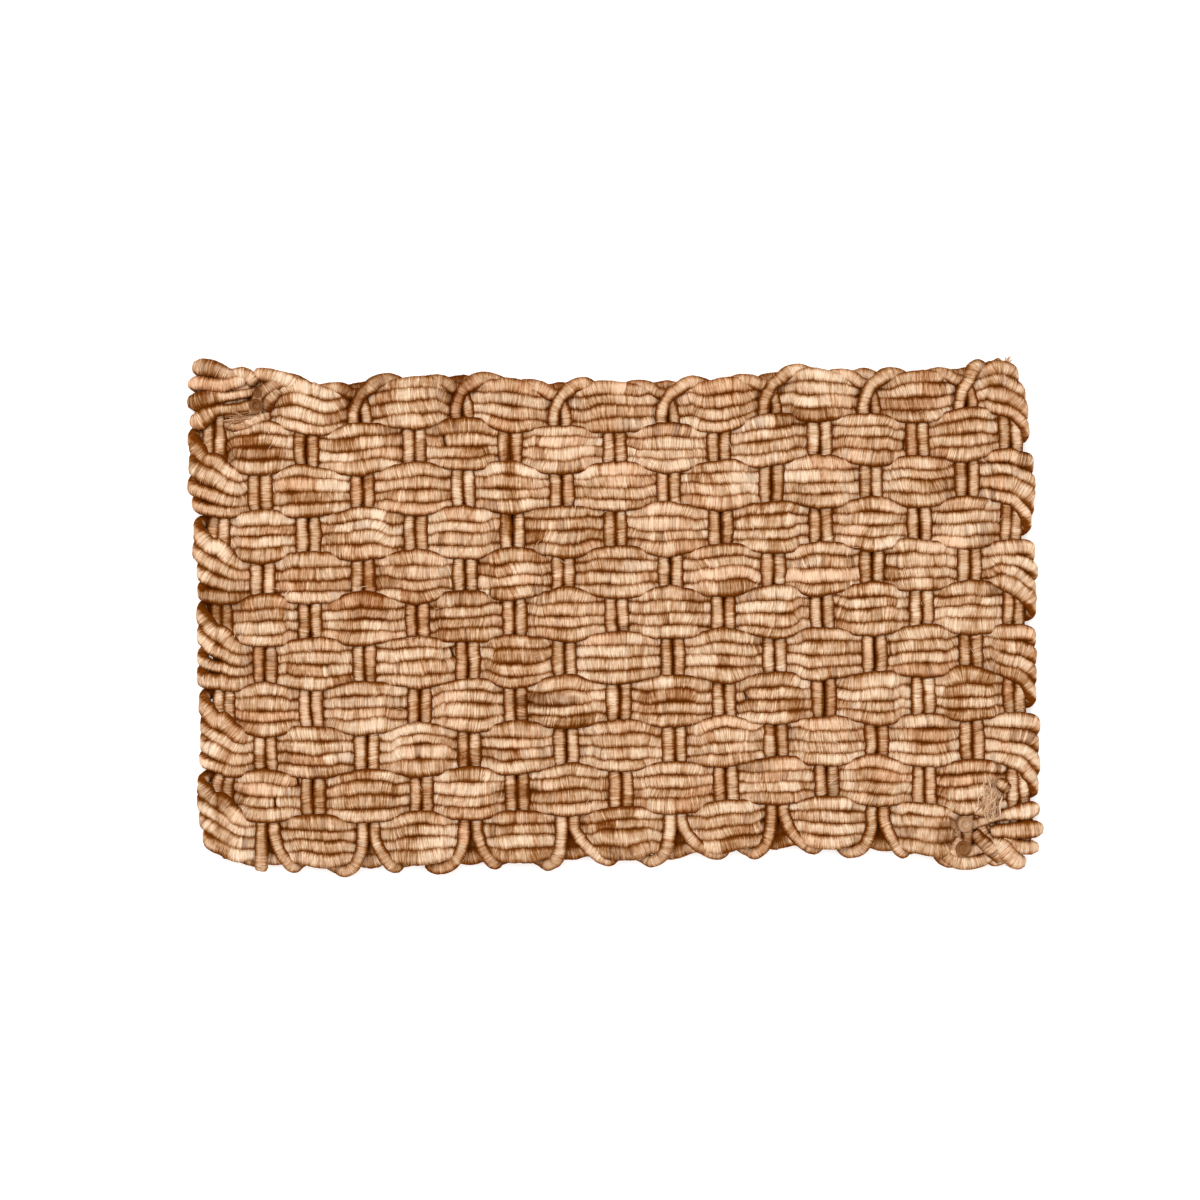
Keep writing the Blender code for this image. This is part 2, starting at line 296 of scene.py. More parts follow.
def turn_points(side, row, strand):
    """Round the left (-1) or right (1) edge, from the front to the back."""
    lead = (STRANDS + 1) / 2 - strand
    front = row if row % 2 else partner(row, side)
    y_edge = edge_y(row, side, strand) + lead * (STRAND_PITCH + 0.8)
    y_front = row_y(front) + lead * (STRAND_PITCH + FAN)
    step = row_y(partner(front, side)) - row_y(front)
    random = np.random.default_rng([SEED, 6, front, strand, side + 1])
    outermost = side * (HALF_LENGTH - STRAND_HALF_THICKNESS - random.uniform(0, 3.5))
    points = []
    widths = shares(front, 1 if side < 0 else PAIRS)[1]
    for inwards, z, left_share, right_share, wide, thick in TURN:
        share = right_share if side > 0 else left_share
        y = y_front + share * (y_edge - y_front) if share < 1 else y_edge + (share - 1) * step
        points.append((outermost - side * inwards, y, z, wide * widths[strand - 1], thick))
    return points


def strand_route(strand):
    route = corner_route("top left", strand, -1)
    for row in range(1, ROWS + 1):
        right = row % 2 == 1
        pairs = range(1, PAIRS + 1) if right else range(PAIRS, 0, -1)
        behind = {1: 1, ROWS: PAIRS}.get(row)
        for pair in pairs:
            side = -1 if pair == behind else weft_side(row, pair)
            route += crossing_points(row, pair, 1 if right else -1, strand, side)
            if pair != pairs[-1]:
                following = pair + (1 if right else -1)
                after = -1 if following == behind else weft_side(row, following)
                lift = 0.35 if after != side else 0.85 * side
                middle = (pair_x(pair) + pair_x(following)) / 2
                route.append(weft_point(middle, row, pair, strand, lift, 0.2))
        if row < ROWS and right:
            route += turn_points(1, row, strand)
        elif row < ROWS:
            route += turn_points(-1, row, strand)[::-1]
    route += corner_route("bottom right", strand, 1)[::-1]
    return np.array(route, float)


def corner_route(corner, strand, side):
    """The free end of a strand on the front near a corner, and how it rounds the edge there."""
    points = [(*point, min(point[3], STRAND_HALF_THICKNESS + 0.6)) for point in CORNER_ENDS[corner][strand]]
    y, wide = points[-1][1], points[-1][3]
    row = 1 if side < 0 else ROWS
    settled = row_y(row) + ((STRANDS + 1) / 2 - strand) * STRAND_PITCH
    outermost = points[-1][0] + 4 * side
    points.append((outermost, y, 0.0, 0.7 * wide, STRAND_HALF_THICKNESS))
    points.append((outermost - side * 3, 0.8 * y + 0.2 * settled, -4.4, 0.6 * wide, STRAND_HALF_THICKNESS))
    points.append((outermost - side * 10, (y + settled) / 2, -5.8, 5, STRAND_HALF_THICKNESS))
    return points


def warp_route(name):
    first = name == "a"  # the outer one where two cords cross at the top edge
    route = []
    for pair in range(1, PAIRS + 1):
        left = (pair % 2 == 0) == first
        x = pair_x(pair) + (-CORD_OFFSET if left else CORD_OFFSET)
        down = (pair % 2 == 1) == first
        column = []
        for row in range(2, ROWS):
            y, side = row_y(row), -weft_side(row, pair)
            waver = 0.7 * math.sin(2.3 * row + 1.7 * pair + left)
            if row > 2:
                middle = (y + row_y(row - 1)) / 2
                column.append((x + waver / 2, middle, 0, CORD_HALF_WIDTH - 0.25, CORD_HALF_THICKNESS))
            column.append(cord_point(x + waver, y + 7, side * CORD_LIFT))
            column.append(cord_point(x + waver, y - 7, side * CORD_LIFT))
        column = top_points(first, pair, x) + column + bottom_points(first, pair, x)
        route += column if down else column[::-1]
    return np.array(route, float)


def cord_point(x, y, z, slim=0.0):
    return (x, y, z, CORD_HALF_WIDTH - slim, CORD_HALF_THICKNESS - slim)


# How a cord goes over the top edge beside an even pair: across from it, up from the rim, and z.
# HOOK is the cord on top where two cross, and ARCH the one under it.
HOOK = ((36, -2.0, -4.2), (31, 0.8, -1.0), (24, 2.4, 2.4), (16, 1.2, 4.6), (9, -3.5, 5.6))
LEAN = (1.12, 1.0, 1.0, 0.85, 1.0, 1.05, 0.9, 0.45)  # the reach of the hooks, pair by pair
ARCH = ((41, -4.0, -3.2), (33, -1.0, -0.5), (24, 0.2, 2.2), (15, -1.6, 2.4), (8, -6.0, 1.4))


def top_points(first, pair, x):
    """How a warp cord passes row 1 and the top edge, from the edge downwards."""
    y, front = row_y(1), (1 if pair % 2 == 0 else -1)
    rim = y + ROW_PITCH / 2
    middle = pair_x(pair)
    low = [cord_point(x, y - ROW_PITCH / 2, 0)]
    if pair == 1 and first:
        return [cord_point(x, rim - 4, 0), cord_point(x, y, 0)] + low
    if pair == 1:
        return [cord_point(x + 4, rim + 1.5, -2), cord_point(x, rim - 6, 0), cord_point(x, y, 0)] + low
    towards = 1 if x < middle else -1
    depth = front * (5.6 if first else 0.6)
    if pair == PAIRS and not first:
        return [
            cord_point(middle + 6, rim + 3.0, 1.0, 1.2),
            cord_point(middle + 1.0, rim + 1.0, 2.0, 0.6),
            cord_point(x + 1, rim - 5, 1.5),
            cord_point(x, y, 0.6),
        ] + low
    points = [
        cord_point(middle + towards * 2.6, y + 11.5, depth),
        cord_point(middle - towards * 2.0, y + 4.5, depth),
        cord_point(x, y - 6.0, depth * 0.9),
    ] + low
    if front < 0:
        return [cord_point(middle + towards * 6.5, rim - 1.5, depth * 0.9)] + points
    arc, lean = (HOOK, LEAN[pair // 2 - 1]) if first else (ARCH, 1)
    slim = -0.7 if first else -0.2
    return [cord_point(middle + towards * dx * lean, rim + dy, z, slim) for dx, dy, z in arc] + points


# How the cords of an even pair reach over the bottom edge: across, up from the rim, and z.
SPLAY_RIGHT = ((7.0, 12.0, 4.2), (18.0, 1.6, 3.8), (27.0, -3.8, 2.0), (32.5, -4.6, -1.0), (36, -2.0, -3.8))
SPLAY_LEFT = ((1.2, 12.6, 3.6), (4.0, 3.0, 3.8), (9, -4.2, 2.8), (17, -7.4, 0.0), (23.5, -4.0, -3.6))
# How far they reach, pair by pair: the left cords, then the right ones.
SPLAY_REACH = ((0.1, 1.0, 1.3, 0.8, 1.0, 0.9, 1.1, 1.0), (0.55, 0.58, 0.5, 0.95, 1.0, 0.82, 0.52, 0.9))


def bottom_points(first, pair, x):
    """How a warp cord passes the last row and the bottom edge, listed downwards."""
    y, towards = row_y(ROWS), (1 if x > pair_x(pair) else -1)
    rim = y - ROW_PITCH / 2
    side = 0 if pair == PAIRS else -weft_side(ROWS, pair)
    points = [cord_point(x, y + ROW_PITCH / 2, 0), cord_point(x, y + 6, side * 3.2)]
    if pair == PAIRS and first:
        points.append(cord_point(x, rim + 4, 0))
    elif pair == 1 and not first:
        points += [cord_point(x, y - 8, side * 3.2), cord_point(x - 1, rim - 5, side * 2)]
    elif side < 0:
        points.append(cord_point(x + towards, y - 7, side * 3.6))
        points.append(cord_point(x + towards * 5.5, rim + 1, side * 3.6))
    else:
        splay = SPLAY_RIGHT if towards > 0 else SPLAY_LEFT
        reach = SPLAY_REACH[towards > 0][pair // 2 - 1]
        for dx, dy, z in splay:
            points.append(cord_point(x + towards * dx * reach, rim + dy, z))
    return points


def settle(x, y):
    """Places in the mat moved to follow its uneven outline."""
    shifted_y = y + np.interp(x, *TOP) * smoothstep(*FADE_Y, y)
    shifted_y += np.interp(x, *BOTTOM) * smoothstep(*FADE_Y, -y)
    shifted_x = x + np.interp(y, *LEFT) * smoothstep(*FADE_X, -x)
    shifted_x += np.interp(y, *RIGHT) * smoothstep(*FADE_X, x)
    return shifted_x, shifted_y


def smooth_route(route):
    """The route as an even row of points, by a Hermite curve through all its columns."""
    route = route.copy()
    route[:, 0], route[:, 1] = settle(route[:, 0], route[:, 1])
    chord = np.linalg.norm(np.diff(route[:, :3], axis=0), axis=1)
    keep = np.concatenate([[True], chord > 0.5])
    route = route[keep]
    chord = np.linalg.norm(np.diff(route[:, :3], axis=0), axis=1)
    at = np.concatenate([[0], np.cumsum(chord)])
    slope = np.gradient(route, at, axis=0)
    fine = np.arange(0, at[-1], 0.25)
    n = np.clip(np.searchsorted(at, fine, side="right") - 1, 0, len(at) - 2)
    width = (at[n + 1] - at[n])[:, None]
    t = ((fine - at[n]) / width[:, 0])[:, None]
    curve = (
        (2 * t**3 - 3 * t**2 + 1) * route[n]
        + (t**3 - 2 * t**2 + t) * width * slope[n]
        + (3 * t**2 - 2 * t**3) * route[n + 1]
        + (t**3 - t**2) * width * slope[n + 1]
    )
    walked = np.concatenate([[0], np.cumsum(np.linalg.norm(np.diff(curve[:, :3], axis=0), axis=1))])
    even = np.arange(0, walked[-1], STEP)
    return np.stack([np.interp(even, walked, column) for column in curve.T], axis=1)


def frames(points, is_weft):
    """For each point the direction across the cord in the mat's plane, and the one out of it."""
    along = np.gradient(points, axis=0)
    along /= np.linalg.norm(along, axis=1, keepdims=True)
    if is_weft:
        across = np.array([0, 1.0, 0]) - along[:, 1:2] * along
    else:
        across = np.cross([0, 0, 1.0], along)
    across /= np.linalg.norm(across, axis=1, keepdims=True)
    return along, across, np.cross(along, across)


# ---- the fibre wound round a cord ----

WRAP_WIDTH = 2.0  # of one turn of fibre, on average
WRAP_START = 30  # how far the turns run on before a cord's start
WRAPS_PER_BUNDLE = 11
MIDDLE_TONE = 0.68


class Winding:
    """The uneven turns of fibre round one cord, from its start to its end.

    Banded is the share of fibre bundles with grey turns in them, and greyness the share of single
    grey turns."""

    def __init__(self, length, key, banded, greyness, spread=0.11):
        random = np.random.default_rng([SEED, 7, key])
        widths = random.gamma(6, WRAP_WIDTH / 6, int(length / 1.3) + 60)
        self.start = np.cumsum(widths) - WRAP_START
        self.width = np.roll(widths, -1)
        count = len(widths)
        patch = np.cumsum(random.random(count) < 1 / WRAPS_PER_BUNDLE)
        patch_tone = random.normal(0, spread, count)[patch]
        self.tone = MIDDLE_TONE + patch_tone + random.normal(0, 0.06, count)
        self.red = np.clip(random.normal(0.1, 0.4, count)[patch] + random.normal(0, 0.15, count), 0, 1)
        is_banded = (random.random(count) < banded)[patch]
        grey = np.where(is_banded, (random.random(count) < 0.5) * random.uniform(0.3, 0.9, count), 0)
        self.grey = np.maximum(grey, (random.random(count) < greyness) * random.uniform(0.2, 0.7, count))
        self.height = random.uniform(0.1, 0.4, count)
        self.slant = Noise(8, key)

    def turned(self, s, angle):
        """The place along the cord where the turn of fibre at this skin point lies."""
        slant = 0.4 + 1.2 * self.slant.along(s + 40, 34)
        return s + slant * np.sin(angle)

    def at(self, place):
        """(relief in mm, tone, red, grey, and the painted shade in the groove between turns) at places
        along the cord.
        """
        n = np.clip(np.searchsorted(self.start, place, side="right") - 1, 0, len(self.start) - 2)
        t = np.clip((place - self.start[n]) / self.width[n], 0, 1)
        round_top = np.sin(math.pi * t) ** 0.7
        relief = self.height[n] * (round_top - 0.6)
        return relief, self.tone[n], self.red[n], self.grey[n], (1 - round_top) ** 2


def painted_weave_shade(points, lateral, facing, is_weft):
    """Painted shade on a cord's skin, from 0 on top to 1 in a gap: darker the lower a point lies in the
    weave and the nearer it is to a cord's side, and less so at the mat's free edges.
    """
    x, y, z = points[..., 0], points[..., 1], points[..., 2]
    height = z * np.sign(facing)
    depth = 1 - (smoothstep(-2.5, 3.6, height) if is_weft else smoothstep(1.0, 4.6, height))
    free = smoothstep(HALF_LENGTH - 12, HALF_LENGTH - 3, np.abs(x))
    free = np.maximum(free, smoothstep(row_y(1) + 7, row_y(1) + 15, y))
    free = np.maximum(free, smoothstep(row_y(ROWS) - 8, row_y(ROWS) - 17, y))
    side = smoothstep(0.38, 0.94, np.abs(lateral))
    return np.clip(depth * (1 - 0.85 * free) + side * (1 - 0.4 * free), 0, 1)


def sway(x, y):
    """How far the strands of one row waver together, up or down the mat."""
    return 0.4 * np.sin(x / 6.1 + y / 13) + 0.5 * np.sin(x / 9.7 - y / 9 + 1)


def tube(curve, is_weft, key, first, last, winding):
    """The skin over curve[first:last]: its points, its colours with their painted shade, and its places on
    the cord.
    """
    noise = Noise(3, key)
    s = np.arange(len(curve)) * STEP
    middle = curve[:, :3].copy()
    middle[:, 1 if is_weft else 0] += 0.35 * noise.along(s, 26) + 0.4 * noise.along(s, 8)
    if is_weft:
        middle[:, 1] += sway(middle[:, 0], middle[:, 1])
    middle[:, 2] += 0.4 * noise.along(s, 21)
    lump = 1 + 0.07 * noise.along(s, 19) + 0.08 * noise.along(s, 7) + 0.05 * noise.along(s, 3.5)
    flat = 1 + 0.05 * noise.along(s, 31)
    along, across, out = frames(middle, is_weft)
    half_width = curve[:, 3] * np.maximum(lump * flat, 0.96)
    half_thickness = curve[:, 4] * lump / flat
    part = slice(first, last)
    s, middle, across, out = s[part], middle[part], across[part], out[part]
    half_width, half_thickness = half_width[part], half_thickness[part]
    upright = np.abs(along[part, 2]) > 0.9
    to_end = np.clip(np.minimum(s - s[0], s[-1] - s) / CAP_LENGTH, 0, 1)
    cap = np.where(upright, 0.94, 0.72 + 0.28 * np.sqrt(1 - (1 - to_end) ** 2))
    angle = np.linspace(-math.pi, math.pi, SIDES, endpoint=False)
    lateral, outward = np.sin(angle), np.cos(angle)
    square = (np.abs(lateral) ** 3 + np.abs(outward) ** 3) ** (-1 / 3) * 0.35 + 0.65
    square = np.where(upright[:, None], 1.0, square)
    grid_s, grid_angle = np.meshgrid(s, angle, indexing="ij")
    place = winding.turned(grid_s, grid_angle)
    relief, tone, red, grey, groove_shade = winding.at(place)
    wide = (half_width * cap)[:, None] * square + relief
    thick = (half_thickness * cap)[:, None] * square + relief
    points = (
        middle[:, None, :]
        + across[:, None, :] * (wide * lateral)[..., None]
        + out[:, None, :] * (thick * outward)[..., None]
    )
    facing = out[:, None, 2] * outward
    # painted shade: darker low in the weave and towards the cords' sides
    painted_shade = painted_weave_shade(points, np.broadcast_to(lateral, tone.shape), facing, is_weft)
    at_tip = (s < 4) | (s > len(curve) * STEP - 5)
    end_shade = np.where(at_tip, 0.1, 0.5) * (1 - to_end) ** 2
    # the upright cut ends get an even painted shade instead
    painted_shade = np.where(upright[:, None], 0.25, painted_shade)
    # painted shade, more in the grooves between turns of fibre and where a length narrows at its end
    painted_shade = np.clip(painted_shade + 0.15 * groove_shade + end_shade[:, None], 0, 1)
    for x, y, reach_x, reach_y, change, greyness in PATCHES:
        near = np.hypot((points[..., 0] - x) / reach_x, (points[..., 1] - y) / reach_y)
        near = smoothstep(1.15, 0.85, near) * (facing > -0.3)
        tone, grey = tone + near * change, np.maximum(grey, near * greyness)
    # the fourth number of each colour is the painted shade
    colours = np.stack([np.clip(tone, 0, 1), red, grey, painted_shade], axis=-1)
    places = np.stack([place, 5 * np.sin(grid_angle), 5 * np.cos(grid_angle)], axis=-1)
    return points, colours, places


def end_cap(ring, colour, place, inwards, core):
    """A cut end: a smaller ring sunk into the cord, and the point in its middle."""
    centre = ring.mean(axis=0)
    inner = centre + (ring - centre) * 0.78 + inwards * 0.15
    # the core's last number is the painted shade of the sunk middle
    core = np.array(core)
    return (
        np.concatenate([inner, (centre + inwards * 0.3)[None]]),
        np.concatenate([0.2 * colour + 0.8 * core, core[None]]),
        np.concatenate([place * [1, 0.6, 0.6] + [3, 0, 0], place[:1] * [1, 0, 0] + [8, 0, 0]]),
    )


GIRTH = 32  # round a cord
STRIP_BAND = 0.96  # the share of a cord's map that its skin takes; the cut ends lie above it
DISC_OUTER, DISC_INNER = 0.018, 0.011  # radii of a cut end's two rings in the map


def build_cord(name, curve, is_weft, key, first, last, winding, core=(0.5, 0.0, 0.7, 0.3)):
    """Makes one length of cord as a mesh object, with its colours and its map."""
    points, colours, places = tube(curve, is_weft, key, first, last, winding)
    rings = len(points)
    start = end_cap(points[0], colours[0], places[0], points[2].mean(0) - points[0].mean(0), core)
    end = end_cap(points[-1], colours[-1], places[-1], points[-3].mean(0) - points[-1].mean(0), core)
    vertices, shades, places = (
        np.concatenate([side.reshape(rings * SIDES, -1), a, b])
        for side, a, b in zip((points, colours, places), start, end)
    )
    ring, side = np.meshgrid(np.arange(rings - 1), np.arange(SIDES), indexing="ij")
    ring, side = ring.ravel(), side.ravel()
    after = (side + 1) % SIDES
    quads = [
        np.stack([ring * SIDES + side, ring * SIDES + after], axis=1),
        np.stack([(ring + 1) * SIDES + after, (ring + 1) * SIDES + side], axis=1),
    ]
    quads = [np.concatenate(quads, axis=1)]
    # The map: the cord cut into strips that lie above each other.
    strips = max(1, round(math.sqrt(rings * STEP / GIRTH)))
    per_strip = math.ceil((rings - 1) / strips)
    strip = ring // per_strip
    begun = ring - strip * per_strip
    u = 0.004 + 0.992 * np.stack([begun, begun, begun + 1, begun + 1], axis=1) / per_strip
    v = np.stack([side, side + 1, side + 1, side], axis=1) / SIDES
    v = STRIP_BAND * (strip[:, None] + 0.03 + 0.94 * v) / strips
    quad_maps, fans, fan_maps = [np.stack([u, v], axis=-1)], [], []
    one, base = np.arange(SIDES), rings * SIDES
    two = (one + 1) % SIDES
    for is_end, edge, offset in ((0, 0, base), (1, (rings - 1) * SIDES, base + SIDES + 1)):
        outer = np.stack([edge + two, edge + one, offset + one, offset + two], axis=1)
        fan = np.stack([offset + two, offset + one, np.full(SIDES, offset + SIDES)], axis=1)
        outer_map, fan_map = disc_map(is_end)
        turn = slice(None, None, -1 if is_end else 1)
        quads.append(outer[:, turn])
        quad_maps.append(outer_map[:, turn])
        fans.append(fan[:, turn])
        fan_maps.append(fan_map[:, turn])
    quads, fans = np.concatenate(quads), np.concatenate(fans)
    bake = np.concatenate([corner.reshape(-1, 2) for corner in quad_maps + fan_maps])
    return build_mesh(name, vertices, quads, fans, shades, places, bake)


def disc_map(is_end):
    """Flat places for the two rings of a cut end, in the free band above the strips."""
    centre = np.array([0.03 + 0.05 * is_end, (STRIP_BAND + 1) / 2])
    i = np.arange(SIDES)
    turn = 2 * math.pi * np.stack([i + 1, i, i, i + 1], axis=1) / SIDES
    reach = np.array([DISC_OUTER, DISC_OUTER, DISC_INNER, DISC_INNER])
    quad = centre + reach[None, :, None] * np.stack([np.cos(turn), np.sin(turn)], -1)
    rim = centre + DISC_INNER * np.stack([np.cos(turn[:, :2]), np.sin(turn[:, :2])], -1)
    wedge = np.concatenate([rim, np.broadcast_to(centre, (SIDES, 1, 2))], axis=1)
    return quad, wedge


def build_mesh(name, vertices, quads, triangles, shades, places, bake=None):
    """A mesh object from arrays in millimetres, standing on z = 0."""
    mesh = bpy.data.meshes.new(name)
    corners = np.concatenate([quads.ravel(), triangles.ravel()]).astype(np.int32)
    sizes = np.concatenate([np.full(len(quads), 4), np.full(len(triangles), 3)])
    mesh.vertices.add(len(vertices))
    placed = (vertices + [0, 0, HALF_THICKNESS]) / 1000
    placed[:, 2] = np.maximum(placed[:, 2], 0)  # the mat lies on the floor
    mesh.vertices.foreach_set("co", placed.astype(np.float32).ravel())
    mesh.loops.add(len(corners))
    mesh.loops.foreach_set("vertex_index", corners)
    mesh.polygons.add(len(sizes))
    starts = np.concatenate([[0], np.cumsum(sizes)[:-1]]).astype(np.int32)
    mesh.polygons.foreach_set("loop_start", starts)
    mesh.update(calc_edges=True)
    if bake is not None:
        mesh.uv_layers.new(name="OFBake").uv.foreach_set("vector", bake.astype(np.float32).ravel())
    # The colour attribute holds the fibre's tone, red and greyness, and the painted shade as its fourth
    # number.
    colour = mesh.attributes.new("wrap_and_shade", "FLOAT_COLOR", "POINT")
    colour.data.foreach_set("color", shades.astype(np.float32).ravel())
    cord = mesh.attributes.new("cord", "FLOAT_VECTOR", "POINT")
    cord.data.foreach_set("vector", places.astype(np.float32).ravel())
    mesh.polygons.foreach_set("use_smooth", np.ones(len(sizes), bool))
    mesh.validate()
    mesh.update()
    obj = bpy.data.objects.new(name, mesh)
    bpy.context.scene.collection.objects.link(obj)
    return obj


# ---- materials ----


class Nodes:
    """Short names for building a node tree."""

    def __init__(self, material):
        material.use_nodes = True
        self.tree = material.node_tree
        self.shader = self.tree.nodes["Principled BSDF"]

    def add(self, kind, values=None, **settings):
        node = self.tree.nodes.new(kind)
        for key, value in settings.items():
            setattr(node, key, value)
        for key, value in (values or {}).items():
            if isinstance(value, bpy.types.NodeSocket):
                self.tree.links.new(value, node.inputs[key])
            else:
                node.inputs[key].default_value = value
        return node

    def math(self, operation, a, b, clamp=False):
        node = self.add("ShaderNodeMath", {0: a, 1: b}, operation=operation, use_clamp=clamp)
        return node.outputs[0]

    def mix(self, share, a, b, blend="MIX"):
        node = self.add("ShaderNodeMix", {0: share, 6: a, 7: b}, data_type="RGBA", blend_type=blend)
        return node.outputs[2]

    def ramp(self, value, low, high, to_low=0.0, to_high=1.0):
        node = self.add(
            "ShaderNodeMapRange",
            {"Value": value, "From Min": low, "From Max": high, "To Min": to_low, "To Max": to_high},
        )
        return node.outputs[0]

    def link(self, output, name):
        self.tree.links.new(output, self.shader.inputs[name])


# The fibre's colours from darkest to palest; the dark stops serve both dark fibre and the painted shade in
# the gaps.
PALETTE = (
    (0.00, (0.150, 0.034, 0.002)),
    (0.18, (0.272, 0.103, 0.024)),
    (0.36, (0.398, 0.190, 0.081)),
    (0.56, (0.578, 0.340, 0.188)),
    (0.76, (0.770, 0.515, 0.334)),
    (1.00, (0.950, 0.735, 0.535)),
)


def fibre_material(name, lift=0.0, depth=0.84, contrast=1.0):
    """Wound plant fibre: streaks that run round the cord, rough matt highlights, and painted shade that
    turns the gaps and the cords' sides dark brown.
    """
    material = bpy.data.materials.new(name)
    n = Nodes(material)
    wrap_and_shade = n.add("ShaderNodeAttribute", attribute_name="wrap_and_shade")
    split = n.add("ShaderNodeSeparateColor", {"Color": wrap_and_shade.outputs["Color"]})
    tone, red, greyness = split.outputs
    painted_shade = wrap_and_shade.outputs["Alpha"]
    place = n.add("ShaderNodeAttribute", attribute_name="cord").outputs["Vector"]

    def streaks(along, around, detail):
        mapped = n.add("ShaderNodeMapping", {"Vector": place, "Scale": (along, around, around)})
        values = {"Vector": mapped.outputs[0], "Scale": 1.0, "Detail": detail, "Roughness": 0.6}
        return n.add("ShaderNodeTexNoise", values).outputs["Fac"]

    fine = streaks(2.8, 0.13, 2.0)
    coarse = streaks(0.8, 0.09, 2.0)
    mottle = streaks(0.07, 0.12, 2.0)
    level = n.math("ADD", tone, n.ramp(fine, 0.3, 0.7, -0.36 * contrast, 0.36 * contrast))
    level = n.math("ADD", level, n.ramp(coarse, 0.3, 0.7, -0.15 * contrast, 0.15 * contrast))
    level = n.math("ADD", level, n.ramp(mottle, 0.3, 0.7, -0.16 + lift, 0.16 + lift))
    level = n.math("SUBTRACT", level, n.ramp(coarse, 0.62, 0.69, 0.0, 0.25))
    # painted shade: the shade number from the mesh, times depth, darkens the fibre towards the palette's
    # dark end
    level = n.math("SUBTRACT", level, n.math("MULTIPLY", painted_shade, depth), clamp=True)
    palette = n.add("ShaderNodeValToRGB", {"Fac": level})
    stops = palette.color_ramp.elements
    while len(stops) < len(PALETTE):
        stops.new(0.5)
    for stop, (position, colour) in zip(stops, PALETTE):
        stop.position, stop.color = position, (*colour, 1)
    colour = palette.outputs["Color"]
    colour = n.mix(n.math("MULTIPLY", red, 0.5), colour, (0.92, 0.66, 0.50, 1), "MULTIPLY")
    colour = n.mix(n.math("MULTIPLY", greyness, 0.9), colour, (0.52, 0.46, 0.44, 1), "MULTIPLY")
    n.link(colour, "Base Color")
    n.link(n.ramp(fine, 0.3, 0.7, 0.72, 0.92), "Roughness")
    height = n.math("ADD", n.math("MULTIPLY", fine, 0.6), coarse)
    bump = n.add("ShaderNodeBump", {"Height": height, "Strength": 0.8, "Distance": 0.0012})
    n.link(bump.outputs["Normal"], "Normal")
    n.shader.inputs["Specular IOR Level"].default_value = 0.0
    return material


weft_fibre = fibre_material("weft_fibre")
warp_fibre = fibre_material("warp_fibre", lift=-0.05, contrast=0.75)
loose_fibre = fibre_material("loose_fibre", lift=0.05, depth=0.5)


def finish_piece(obj, material, node):
    obj.data.materials.append(material)
    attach(obj, "root")
    if node:
        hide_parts(node)


def nearest(curve, x, y):
    """Where along a curve it passes a place."""
    return int(np.argmin(np.hypot(curve[:, 0] - x, curve[:, 1] - y)))


# ---- the pieces ----

for strand in range(1, STRANDS + 1):
    curve = smooth_route(strand_route(strand))
    lead = (STRANDS + 1) / 2 - strand
    cuts = [0]
    for row, place in STRAND_SPLICES[strand]:
        cuts.append(nearest(curve, pair_x(place), row_y(row) + lead * (STRAND_PITCH + 1)))
    cuts.append(len(curve))
    for n in range(len(cuts) - 1):
        key = 10 * strand + n
        winding = Winding(len(curve) * STEP, key, banded=0.07, greyness=0.05)
        name = f"weft_strand_{strand}_length_{n + 1}"
        obj = build_cord(f"woven_{name}", curve, True, strand, cuts[n], cuts[n + 1], winding)
        finish_piece(obj, weft_fibre, name)

for name, first_key in (("a", 60), ("b", 80)):
    curve = smooth_route(warp_route(name))
    cuts = [0]
    for pair, row in CORD_SPLICES[name]:
        left = (pair % 2 == 0) == (name == "a")
        x = pair_x(pair) + (-CORD_OFFSET if left else CORD_OFFSET)
        cuts.append(nearest(curve, x, row_y(row)))
    cuts.append(len(curve))
    for n in range(len(cuts) - 1):
        winding = Winding(len(curve) * STEP, first_key + n, banded=0.05, greyness=0.06, spread=0.07)
        node = f"warp_cord_{name}_length_{n + 1}"
        obj = build_cord(f"woven_{node}", curve, False, first_key, cuts[n], cuts[n + 1], winding)
        finish_piece(obj, warp_fibre, node)


def fibre_piece(name, fibres, node=None):
    """Loose fibres as one mesh; each is a bent line of points with a radius and a tone."""
    vertices, quads, shades, places = [], [], [], []
    for n, (line, radius, tone, grey) in enumerate(fibres):
        count = len(line)
        t = np.linspace(-1, 1, count)
        along = np.gradient(line, axis=0)
        side = np.cross([0, 0, 1.0], along)
        side /= np.maximum(np.linalg.norm(side, axis=1, keepdims=True), 1e-6)
        up = np.cross(along, side)
        up /= np.maximum(np.linalg.norm(up, axis=1, keepdims=True), 1e-6)
        taper = radius * np.sqrt(1 - 0.85 * t**4)[:, None]
        base = sum(len(v) for v in vertices)
        ring = [line + side * taper, line + up * taper, line - side * taper, line - up * taper]
        vertices.append(np.stack(ring, axis=1).reshape(-1, 3))
        one, two = np.meshgrid(np.arange(count - 1) * 4, np.arange(4), indexing="ij")
        one, two = one.ravel(), two.ravel()
        three = (two + 1) % 4
        quads.append(base + np.stack([one + two, one + three, one + 4 + three, one + 4 + two], axis=1))
        last = 4 * (count - 1)
        quads.append(base + np.array([[3, 2, 1, 0], [last, last + 1, last + 2, last + 3]]))
        shades.append(np.tile([tone, 0.2, grey, 0.0], (4 * count, 1)))
        strip = np.repeat(np.arange(count) * 1.5 + 37.0 * n, 4)
        turn = np.tile(np.linspace(0, 2 * math.pi, 4, endpoint=False), count)
        places.append(np.stack([strip, np.sin(turn), np.cos(turn)], axis=1))
    no_triangles = np.zeros((0, 3), int)
    parts = [np.concatenate(part) for part in (vertices, quads, shades, places)]
    obj = build_mesh(name, parts[0], parts[1], no_triangles, parts[2], parts[3])
    finish_piece(obj, loose_fibre, node)


FIBRE_POINTS = 12  # along a loose fibre
HAIRS = 110  # that lie about on the cords


